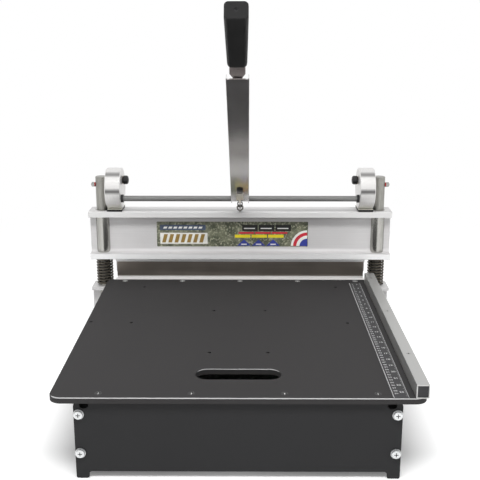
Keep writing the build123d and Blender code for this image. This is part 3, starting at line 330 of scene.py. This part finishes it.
# Materials, each with its colour, its roughness and its surface
materials = {
    # The table's bevel colour is a painted highlight on its front edge
    "table": painted_metal("table_powder_coat", (0.041, 0.0395, 0.040), 0.66, 0.12, bevel_painted_highlight=(0.50, 0.50, 0.50)),
    "panel": painted_metal("panel_powder_coat", (0.027, 0.027, 0.028), 0.60, 0.15),
    "black": painted_metal("black_oxide", (0.012, 0.012, 0.013), 0.34, 0.5),
    "zinc": brushed_metal("zinc_plate", (0.50, 0.505, 0.51), 0.30, all_ways, 0.10, 0.05),
    "pan": pan_head_zinc(),
    "fence": brushed_metal("fence_aluminium", (0.53, 0.53, 0.52), 0.46, along_y, 0.05, 0.10),
    # The beam's flange bands are painted highlights
    "beam": brushed_metal("beam_aluminium", (0.66, 0.65, 0.65), 0.40, along_x, 0.04, 0.08, metallic=0.10,
                          bands=[lower_flange_painted_highlight, upper_flange_painted_highlight]),
    "holder": brushed_metal("holder_aluminium", (0.88, 0.88, 0.88), 0.38, along_x, 0.04, 0.08, metallic=0.35),
    "anvil": brushed_metal("anvil_steel", (0.86, 0.85, 0.84), 0.36, along_x, 0.05, 0.08, metallic=0.35),
    "rail": brushed_metal("drawn_steel", (0.42, 0.42, 0.43), 0.42, along_x, 0.10, 0.08),
    "post": brushed_metal("ground_steel", (0.33, 0.325, 0.30), 0.34, down_the_post, 0.22, 0.06, post_streaks),
    "sleeve": brushed_metal("bearing_sleeve", (0.42, 0.415, 0.39), 0.22, down_the_post, 0.15, 0.04,
                            post_streaks),
    "cam": turned_steel(),
    "bronze": brushed_metal("bush_bronze", (0.55, 0.38, 0.20), 0.35, all_ways, 0.10, 0.05),
    "bar": brushed_metal("bar_steel", (0.24, 0.24, 0.235), 0.55, along_x, 0.06, 0.04, metallic=0.5),
    "lever": brushed_metal("lever_steel", (0.80, 0.79, 0.785), 0.16, across_lever, 0.08, 0.03, metallic=0.95,
                           lean=lever_lean),
    "neck": brushed_metal("neck_steel", (0.30, 0.262, 0.252), 0.42, across_lever, 0.12, 0.10, metallic=0.6),
    "hook": brushed_metal("hook_plate", (0.98, 0.93, 0.84), 0.35, across_lever, 0.04, 0.05, metallic=0.6),
    "chain": brushed_metal("chain_wire", (0.24, 0.23, 0.22), 0.24, all_ways, 0.16, 0.05),
    "spring": brushed_metal("spring_wire", (0.095, 0.085, 0.070), 0.30, all_ways, 0.10, 0.04),
    "blade": brushed_metal("blade_steel", (0.225, 0.20, 0.175), 0.42, along_x, 0.10, 0.08,
                           bands=[ground_blade]),
    "nut": brushed_metal("stud_nut_steel", (0.40, 0.40, 0.39), 0.35, all_ways, 0.10, 0.05),
    # The near-white recess band on the table screws is a painted glint
    "screw": brushed_metal("table_screw_steel", (0.008, 0.008, 0.008), 0.40, all_ways, 0.06, 0.05,
                           metallic=0.2, bands=[rear_screws, screw_recess_painted_glint]),
    "rubber": moulded("foot_rubber", (0.018, 0.018, 0.018), 0.75),
    "plastic": moulded("plug_plastic", (0.022, 0.022, 0.024), 0.45),
    # The wear pads' pale top colour is a painted reflection on black plastic
    "pad": moulded("wear_pad_plastic", (0.010, 0.010, 0.010), 0.40, 300.0, 0.05, 0.3, top=(0.93, 0.92, 0.83)),
    "grip": moulded("grip_rubber", (0.013, 0.013, 0.013), 0.50, 700.0, 0.35, 0.22),
    "red": moulded("fibre_washer", (0.36, 0.035, 0.03), 0.55),
    "strip": moulded("ruler_vinyl", (0.050, 0.050, 0.052), 0.55, 400.0, 0.05, 0.2),
    "ink": moulded("ruler_ink", (0.62, 0.62, 0.62), 0.60, 400.0, 0.05, 0.25),
    "olive": mottled_print("label_olive", (0.075, 0.085, 0.055), (0.20, 0.21, 0.14), (0.42, 0.42, 0.31)),
    "cream": label_ink("label_cream", (0.90, 0.89, 0.84)),
    "ochre": label_ink("label_ochre", (0.33, 0.21, 0.055)),
    "slate": label_ink("label_slate", (0.075, 0.10, 0.16)),
    "yellow": label_ink("label_yellow", (0.78, 0.66, 0.03)),
    "crimson": label_ink("label_crimson", (0.60, 0.03, 0.05)),
    "navy": label_ink("label_navy", (0.04, 0.055, 0.32)),
    "pitch": label_ink("label_pitch", (0.016, 0.016, 0.016)),
}

nodes_of_material = {
    "table": ["table_plate"],
    "panel": ["front_panel", "right_side_panel", "left_side_panel"],
    "black": ["rail_screws", "anvil_bolts", "web_bolts", "post_end_screws", "pivot_screws", "blade_bolts",
              "holder_bolts", "pad_screws", "bar_collars", "neck_screws", "grip_screw"],
    "zinc": ["table_nuts", "panel_washers", "panel_nuts", "web_nuts", "post_end_washers", "eye_washer"],
    "pan": ["panel_screws"],
    "fence": ["fence_tube", "fence_screws"],
    "beam": ["lower_beam", "upper_beam"],
    "holder": ["blade_holder"],
    "anvil": ["anvil_bar"],
    "rail": ["rear_rail"],
    "post": ["left_post", "right_post"],
    "sleeve": ["post_bushes"],
    "cam": ["left_cam", "right_cam"],
    "bronze": ["cam_bushes"],
    "bar": ["cross_bar"],
    "lever": ["lever_tube"],
    "neck": ["lever_neck"],
    "hook": ["lock_hook"],
    "chain": ["eye_screw", "small_link", "large_link"],
    "spring": ["left_spring", "right_spring"],
    "blade": ["blade"],
    "nut": ["post_studs", "stud_nuts"],
    "screw": ["table_screws"],
    "rubber": ["rear_feet"],
    "plastic": ["fence_plugs"],
    "pad": ["left_wear_pad", "right_wear_pad"],
    "grip": ["grip"],
    "red": ["stud_washers"],
    "strip": ["ruler_strip"],
    "olive": ["beam_label"],
}
for key, names in nodes_of_material.items():
    for name in names:
        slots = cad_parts[name].data.materials
        slots.clear()
        slots.append(materials[key])


def new_piece(name, vertices, faces, material, smooth=False):
    """A mesh object from points and faces, in the row frame."""
    mesh = bpy.data.meshes.new(name)
    mesh.from_pydata(vertices, [], faces)
    mesh.validate()
    mesh.update()
    for polygon in mesh.polygons:
        polygon.use_smooth = smooth
    piece = bpy.data.objects.new(name, mesh)
    bpy.context.scene.collection.objects.link(piece)
    mesh.materials.append(material)
    return piece


# Springs: a helix of round wire that stretches between the two beams
spring_wire = 4.5 * mm
spring_turns = 9


def helix_tube(centre, bottom, top, radius, wire, turns, steps=40, sides=12):
    """The points and faces of round wire along a helix, closed at both ends."""
    vertices, faces = [], []
    count = turns * steps
    for i in range(count + 1):
        angle = 2 * math.pi * i / steps
        climb = bottom + (top - bottom) * i / count
        for j in range(sides):
            around = 2 * math.pi * j / sides
            reach = radius + wire / 2 * math.cos(around)
            vertices.append((centre.x + math.cos(angle) * reach, centre.y + math.sin(angle) * reach,
                             climb + wire / 2 * math.sin(around)))
    for i in range(count):
        here, ahead = i * sides, (i + 1) * sides
        for j in range(sides):
            beside = (j + 1) % sides
            faces.append((here + j, here + beside, ahead + beside, ahead + j))
    faces.append(tuple(range(sides)))
    faces.append(tuple(count * sides + j for j in reversed(range(sides))))
    return vertices, faces


for side in ("left", "right"):
    low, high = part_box(side + "_spring")
    middle = (low + high) / 2
    tube = helix_tube(middle, low.z + spring_wire / 2, high.z - spring_wire / 2,
                      (high.x - low.x - spring_wire) / 2, spring_wire, spring_turns)
    spring = new_piece(side + "_coil_spring", *tube, materials["spring"], smooth=True)
    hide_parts(side + "_spring")
    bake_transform(spring)

# Ruler print: border lines, ticks every eighth, plain centimetres on the left and inches on the right
print_lift = 0.02 * mm
print_thickness = 0.06 * mm
print_level = strip_high.z + print_lift

line_inset = 1.0 * mm
line_end_gap = 0.5 * mm
left_line_width = 0.9 * mm
right_line_width = 0.5 * mm
left_line_x = strip_low.x + line_inset
right_line_x = strip_high.x - line_inset - right_line_width

first_inch = 2
last_inch = 23
inch_x = strip_high.x - 9.0 * mm
inch_size = 7.2 * mm
inch_boldness = 0.12 * mm

first_centimetre = 5
last_centimetre = 59
centimetre_x = strip_low.x + 7.4 * mm
centimetre_size = 6.0 * mm
centimetre_boldness = 0.06 * mm

# Ticks, counted in sixteenths of an inch
first_tick = first_inch * 16 - 4
last_tick = last_inch * 16 + 8
tick_step = 2
tick_width = 0.35 * mm
tick_gap = 0.4 * mm
tick_end = right_line_x - tick_gap
tick_lengths = {2: 1.2 * mm, 4: 1.8 * mm, 8: 2.6 * mm, 16: 3.2 * mm}


def flat_boxes(boxes, level, thickness):
    """Thin plates from a list of (x0, x1, y0, y1)."""
    vertices, faces = [], []
    for x0, x1, y0, y1 in boxes:
        start = len(vertices)
        for z in (level, level + thickness):
            vertices += [(x0, y0, z), (x1, y0, z), (x1, y1, z), (x0, y1, z)]
        faces += [tuple(start + i for i in face) for face in (
            (3, 2, 1, 0), (4, 5, 6, 7), (0, 1, 5, 4), (1, 2, 6, 5), (2, 3, 7, 6), (3, 0, 4, 7))]
    return vertices, faces


def tick_length(sixteenth):
    """The length for the coarsest fraction of an inch that a tick stands on."""
    step = 16
    while sixteenth % step:
        step //= 2
    return tick_lengths[step]


def ruler_number(kind, number, x, y, size, boldness):
    """One plain number lying on the strip, read from the operator's side."""
    text = bpy.data.curves.new("%s_%02d" % (kind, number), "FONT")
    text.body = str(number)
    text.size = size
    text.align_x = "CENTER"
    text.align_y = "CENTER"
    text.extrude = print_thickness / 2
    text.offset = boldness
    text.materials.append(materials["ink"])
    piece = bpy.data.objects.new("ruler_%s_%02d" % (kind, number), text)
    bpy.context.scene.collection.objects.link(piece)
    piece.location = (x, y, print_level + print_thickness / 2)
    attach(piece, "base")


line_ends = (strip_low.y + line_end_gap, strip_high.y - line_end_gap)
marks = [(left_line_x, left_line_x + left_line_width, *line_ends),
         (right_line_x, right_line_x + right_line_width, *line_ends)]
for sixteenth in range(first_tick, last_tick + 1, tick_step):
    y = cutting_plane - sixteenth * inch / 16
    marks.append((tick_end - tick_length(sixteenth), tick_end, y - tick_width / 2, y + tick_width / 2))
mark_plates = flat_boxes(marks, print_level, print_thickness)
ruler_marks = new_piece("ruler_marks", *mark_plates, materials["ink"])
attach(ruler_marks, "base")

for number in range(first_inch, last_inch + 1):
    ruler_number("inch", number, inch_x, cutting_plane - number * inch, inch_size, inch_boldness)
for number in range(first_centimetre, last_centimetre + 1):
    ruler_number("centimetre", number, centimetre_x, cutting_plane - number * centimetre,
                 centimetre_size, centimetre_boldness)


# Label print: plain shapes of printed colour, in millimetres from the label's lower left corner
layer_step = print_thickness
shape_thickness = 0.8 * layer_step


def upright_plate(outline, layer):
    """A thin plate in front of the label, further out in a higher layer."""
    front = label_corner.y - layer * layer_step
    count = len(outline)
    vertices = [(label_corner.x + u * mm, y, label_corner.z + v * mm)
                for y in (front, front + shape_thickness) for u, v in outline]
    faces = [tuple(range(count)), tuple(count + i for i in reversed(range(count)))]
    faces += [(i, count + i, count + (i + 1) % count, (i + 1) % count) for i in range(count)]
    return vertices, faces


def print_shape(name, colour, layer, outline):
    plate = new_piece(name, *upright_plate(outline, layer), materials[colour])
    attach(plate, "beam")


def bar_outline(u, v, width, height, slant=0.0):
    return [(u, v), (u + width, v), (u + width + slant, v + height), (u + slant, v + height)]


def ring_outline(u, v, inner, outer, first, last, steps=16):
    """Part of a ring between two angles, or of a disc where it has no inner radius."""
    angles = [math.radians(first + (last - first) * i / steps) for i in range(steps + 1)]
    rim = [(u + outer * math.cos(a), v + outer * math.sin(a)) for a in angles]
    if not inner:
        return [(u, v)] + rim
    return rim + [(u + inner * math.cos(a), v + inner * math.sin(a)) for a in reversed(angles)]


tile_step = 13.6
dash_step = 11
plank_step = 36.5
arc_rings = (("navy", 0, 17), ("cream", 17, 24), ("crimson", 24, 31), ("cream", 31, 36))
gable_places = (176, 208, 240)

print_shape("label_blue_band", "slate", 1, bar_outline(7, 37, 100, 12))
print_shape("label_pale_panel", "cream", 1, bar_outline(7, 6, 104, 25))
for i in range(7):
    print_shape("label_bronze_tile_%d" % i, "ochre", 2, bar_outline(11 + tile_step * i, 9, 8, 19, 5))
for i in range(8):
    print_shape("label_pale_dash_%d" % i, "cream", 2, bar_outline(14 + dash_step * i, 40.5, 7.5, 4.5, 2))
for i in range(3):
    along = plank_step * i
    print_shape("label_yellow_plank_%d" % i, "yellow", 1, bar_outline(171 + along, 20, 34, 7))
    print_shape("label_red_strip_%d" % i, "crimson", 1, bar_outline(179 + along, 29, 34, 4))
    print_shape("label_dark_plank_%d" % i, "pitch", 1, bar_outline(187 + along, 35, 34, 14))
    print_shape("label_pale_line_%d" % i, "cream", 2, bar_outline(191 + along, 40, 24, 2.2))
for i, (colour, inner, outer) in enumerate(arc_rings):
    print_shape("label_arc_%d" % i, colour, 1, ring_outline(330, 1, inner, outer, 91, 179))
for i, u in enumerate(gable_places):
    print_shape("label_blue_gable_%d" % i, "navy", 1, [(u, 2), (u + 30, 2), (u + 15, 16)])
    print_shape("label_pale_sill_%d" % i, "cream", 2, bar_outline(u + 9, 4, 12, 2.4))

# Floor, camera and lights, in metres
white = (1.0, 1.0, 1.0, 1.0)
floor_reach = 30.0
glow_from, glow_to = 0.7, 1.6
lift_from, lift_to = 0.26, 0.36
lift_strength = 0.35
world_strength = 0.34


def seen_directly(tree):
    """One for the camera's rays and for those that metal and glass send on."""
    path = add_node(tree, "ShaderNodeLightPath")
    eye = math_node(tree, "MAXIMUM", path.outputs["Is Camera Ray"], path.outputs["Is Transmission Ray"])
    return math_node(tree, "MAXIMUM", eye, path.outputs["Is Glossy Ray"])


def studio_floor_material():
    """A white floor that keeps the part's soft shadow, is lifted a little beside it and glows far off."""
    material, tree, shader = new_material("studio_floor")
    shader.inputs["Base Color"].default_value = (0.96, 0.96, 0.96, 1.0)
    shader.inputs["Roughness"].default_value = 0.9
    shader.inputs["Specular IOR Level"].default_value = 0.0
    place = add_node(tree, "ShaderNodeTexCoord").outputs["Object"]
    seen = seen_directly(tree)

    parts = parts_of(tree, place)
    aside = math_node(tree, "MAXIMUM", math_node(tree, "ABSOLUTE", parts["X"]),
                      math_node(tree, "ABSOLUTE", parts["Y"]))
    lifted = math_node(tree, "MULTIPLY", seen, spread(tree, aside, lift_from, lift_to, 0.0, lift_strength))
    lift = add_node(tree, "ShaderNodeEmission", Color=white, Strength=lifted)
    near = add_node(tree, "ShaderNodeAddShader")
    tree.links.new(shader.outputs["BSDF"], near.inputs[0])
    tree.links.new(lift.outputs["Emission"], near.inputs[1])

    distance = add_node(tree, "ShaderNodeVectorMath", {"operation": "LENGTH"})
    tree.links.new(place, distance.inputs[0])
    far = spread(tree, distance.outputs["Value"], glow_from, glow_to, 0.0, 1.0)
    glow = add_node(tree, "ShaderNodeEmission", Color=white, Strength=1.0)
    both = add_node(tree, "ShaderNodeMixShader")
    tree.links.new(math_node(tree, "MULTIPLY", far, seen), both.inputs[0])
    tree.links.new(near.outputs["Shader"], both.inputs[1])
    tree.links.new(glow.outputs["Emission"], both.inputs[2])
    tree.links.new(both.outputs["Shader"], tree.nodes["Material Output"].inputs["Surface"])
    return material


floor = new_piece("studio_floor", [(-floor_reach, -floor_reach, 0), (floor_reach, -floor_reach, 0),
                                   (floor_reach, floor_reach, 0), (-floor_reach, floor_reach, 0)],
                  [(0, 1, 2, 3)], studio_floor_material())

camera_data = bpy.data.cameras.new("camera")
camera_data.lens = camera_lens
camera_data.sensor_width = camera_sensor
camera_data.clip_end = 100.0
camera = bpy.data.objects.new("camera", camera_data)
camera.location = camera_place
camera.rotation_euler = (camera_pitch, 0.0, camera_turn)
bpy.context.scene.collection.objects.link(camera)
bpy.context.scene.camera = camera


def soft_light(name, place, target, size, power):
    """A wide lamp that bare metal doesn't mirror, so that its pale faces don't clip."""
    data = bpy.data.lights.new(name, "AREA")
    data.shape = "RECTANGLE"
    data.size, data.size_y = size
    data.energy = power
    light = bpy.data.objects.new(name, data)
    light.location = place
    light.rotation_euler = (Vector(target) - Vector(place)).to_track_quat("-Z", "Y").to_euler()
    light.visible_glossy = False
    bpy.context.scene.collection.objects.link(light)


soft_light("top_softbox", (0.0, 0.5, 2.7), (0.0, 0.1, 0.2), (2.4, 1.4), 9.0)
soft_light("front_softbox", (0.0, -1.5, 2.4), (0.0, 0.1, 0.3), (2.0, 0.7), 52.0)
soft_light("left_softbox", (-2.2, -1.0, 1.4), (0.0, 0.0, 0.3), (1.2, 1.6), 9.0)
soft_light("right_softbox", (2.2, -1.0, 1.4), (0.0, 0.0, 0.3), (1.2, 1.6), 9.0)

world = bpy.data.worlds.new("studio")
bpy.context.scene.world = world
world.use_nodes = True
world_tree = world.node_tree
background = world_tree.nodes["Background"]
background.inputs["Color"].default_value = white
strength = spread(world_tree, seen_directly(world_tree), 0.0, 1.0, world_strength, 1.0)
world_tree.links.new(strength, background.inputs["Strength"])
bpy.context.scene.view_settings.view_transform = "Standard"
